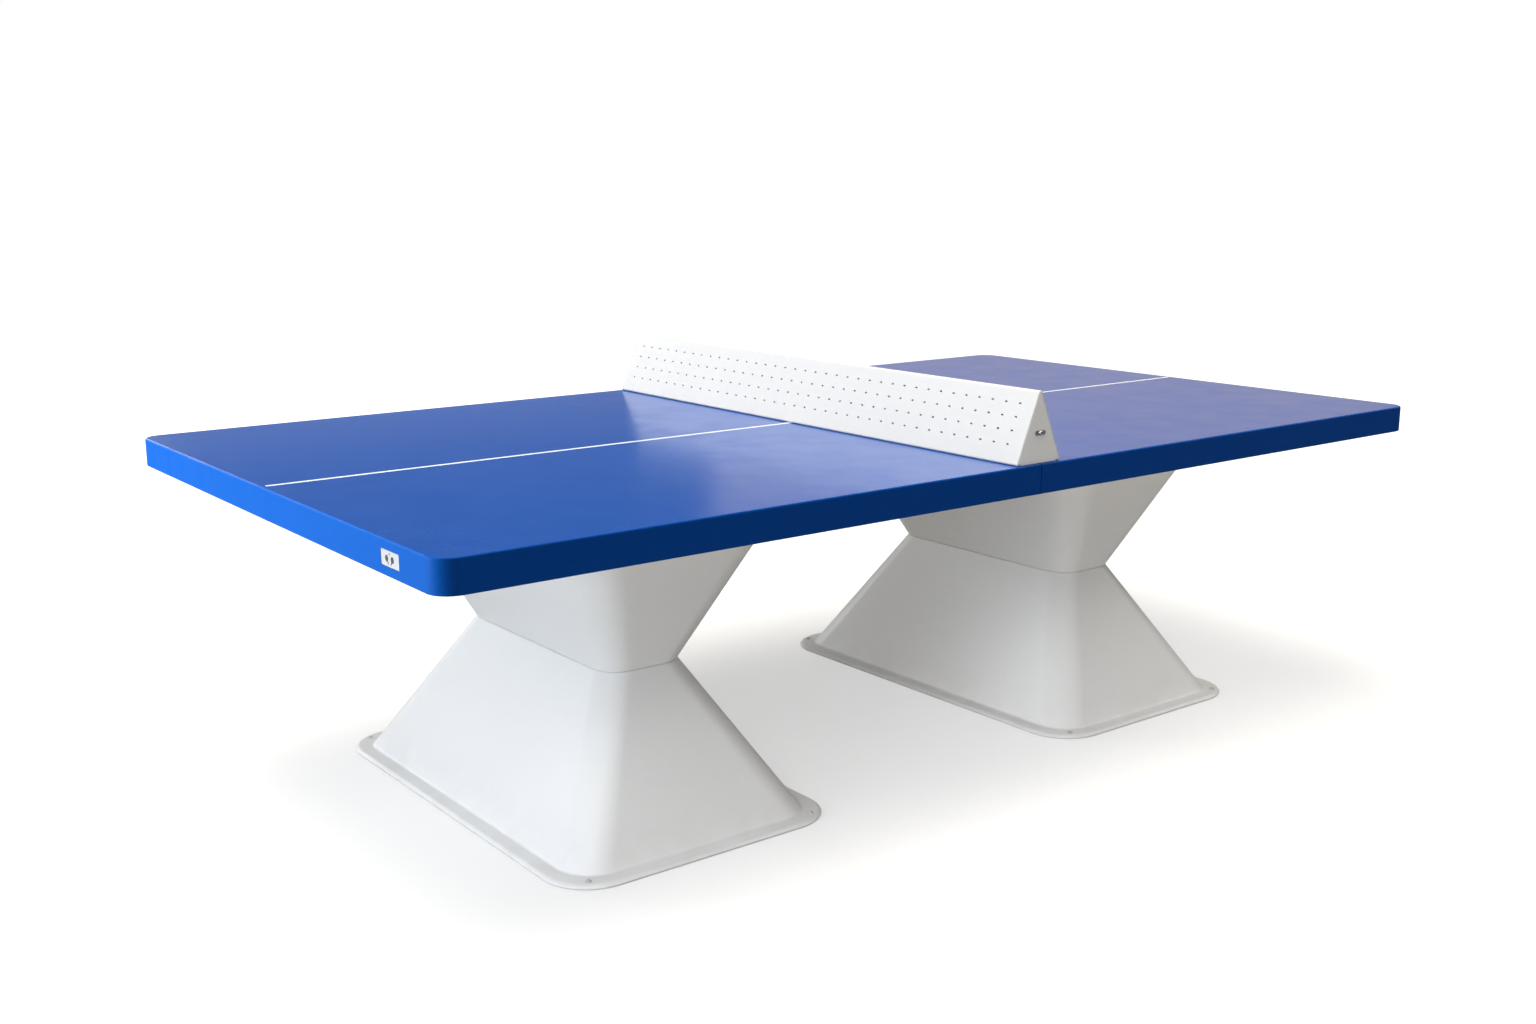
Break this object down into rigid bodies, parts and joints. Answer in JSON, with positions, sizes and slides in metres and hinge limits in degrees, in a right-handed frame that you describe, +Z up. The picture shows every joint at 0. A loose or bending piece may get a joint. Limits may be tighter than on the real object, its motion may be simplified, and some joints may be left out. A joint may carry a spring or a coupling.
{
  "type": "ping pong table",
  "caption": "Fixed outdoor ping pong table: blue moulded top in two halves, white folded perforated net, and white hourglass feet set across the table.",
  "frame": {"origin": "on the ground, midway between the ends and the sides, below the seam of the two half tops", "axes": "+X along the length towards the right-hand end, +Y across the width to the far side, +Z up"},
  "size_m": [2.74, 1.525, 0.9125],
  "materials": {
    "blue_gelcoat": "satin gelcoat",
    "core_foam": "rigid foam",
    "grey_underside": "plain laminate",
    "white_line": "satin inlay",
    "white_powder_coat": "powder coat",
    "white_gelcoat": "satin gelcoat",
    "galvanised_steel": "galvanised",
    "stainless_steel": "bright",
    "plate_aluminium": "satin, blank"
  },
  "bodies": {
    "root": {"bracket_screw_far_1": "stainless_steel", "bracket_screw_far_2": "stainless_steel", "bracket_screw_near_1": "stainless_steel", "bracket_screw_near_2": "stainless_steel", "centre_line_left": "white_line", "centre_line_right": "white_line", "deck_bolt_left_1": "stainless_steel", "deck_bolt_left_2": "stainless_steel", "deck_bolt_left_3": "stainless_steel", "deck_bolt_left_4": "stainless_steel", "deck_bolt_right_1": "stainless_steel", "deck_bolt_right_2": "stainless_steel", "deck_bolt_right_3": "stainless_steel", "deck_bolt_right_4": "stainless_steel", "deck_core_left": "core_foam", "deck_core_right": "core_foam", "deck_shell_left": "blue_gelcoat", "deck_shell_right": "blue_gelcoat", "deck_underside_left": "grey_underside", "deck_underside_right": "grey_underside", "foot_lower_shell_left": "white_gelcoat", "foot_lower_shell_right": "white_gelcoat", "foot_upper_shell_left": "white_gelcoat", "foot_upper_shell_right": "white_gelcoat", "ground_anchor_left_1": "white_powder_coat", "ground_anchor_left_2": "white_powder_coat", "ground_anchor_left_3": "white_powder_coat", "ground_anchor_left_4": "white_powder_coat", "ground_anchor_right_1": "white_powder_coat", "ground_anchor_right_2": "white_powder_coat", "ground_anchor_right_3": "white_powder_coat", "ground_anchor_right_4": "white_powder_coat", "maker_plate": "plate_aluminium", "net_bolt_far": "stainless_steel", "net_bolt_near": "stainless_steel", "net_bracket_far": "galvanised_steel", "net_bracket_near": "galvanised_steel", "net_end_plate_far": "white_powder_coat", "net_end_plate_near": "white_powder_coat", "net_sheet": "white_powder_coat", "seam_bolt_far_1": "stainless_steel", "seam_bolt_far_2": "stainless_steel", "seam_bolt_near_1": "stainless_steel", "seam_bolt_near_2": "stainless_steel", "seam_plate_far": "galvanised_steel", "seam_plate_near": "galvanised_steel", "top_frame_left": "galvanised_steel", "top_frame_right": "galvanised_steel", "waist_bolt_left_1": "stainless_steel", "waist_bolt_left_2": "stainless_steel", "waist_bolt_left_3": "stainless_steel", "waist_bolt_left_4": "stainless_steel", "waist_bolt_right_1": "stainless_steel", "waist_bolt_right_2": "stainless_steel", "waist_bolt_right_3": "stainless_steel", "waist_bolt_right_4": "stainless_steel", "waist_frame_left": "galvanised_steel", "waist_frame_right": "galvanised_steel"}
  },
  "joints": []
}
